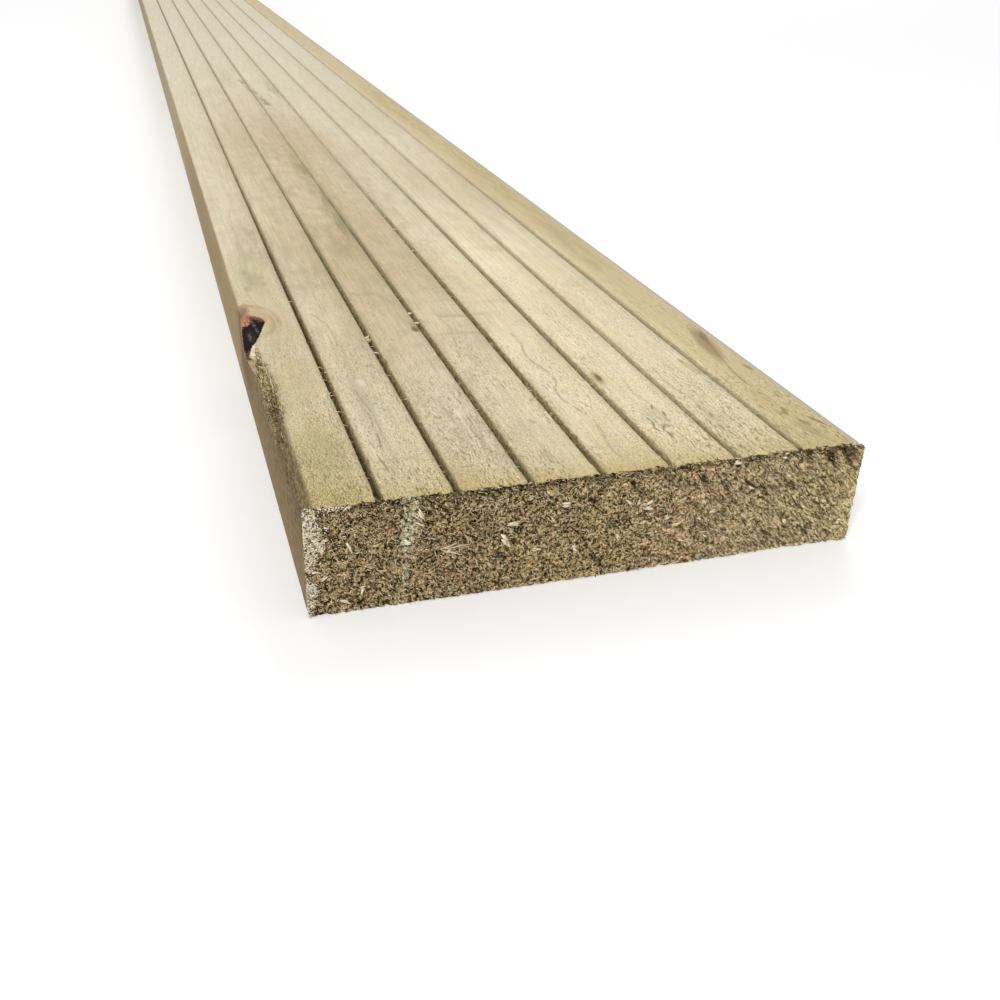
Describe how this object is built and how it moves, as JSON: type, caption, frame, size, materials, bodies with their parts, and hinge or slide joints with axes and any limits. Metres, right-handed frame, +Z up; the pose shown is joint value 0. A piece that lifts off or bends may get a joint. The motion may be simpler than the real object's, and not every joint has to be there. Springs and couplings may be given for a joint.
{
  "type": "decking board",
  "caption": "Planed softwood decking board with grip grooves along its top face, rounded arrises and rough-sawn ends, lying flat.",
  "frame": {"origin": "centre of the flat underside, midway along the board", "axes": "+X along the board, away from the sawn end next to the knot pit; +Y across the board, towards the edge with the knot pit; +Z up, out of the grooved face"},
  "size_m": [1.8, 0.12, 0.024],
  "materials": {
    "treated_softwood": "planed faces, rough-sawn ends, pressure treated, no coating"
  },
  "bodies": {
    "root": {"decking_board": "treated_softwood"}
  },
  "joints": []
}
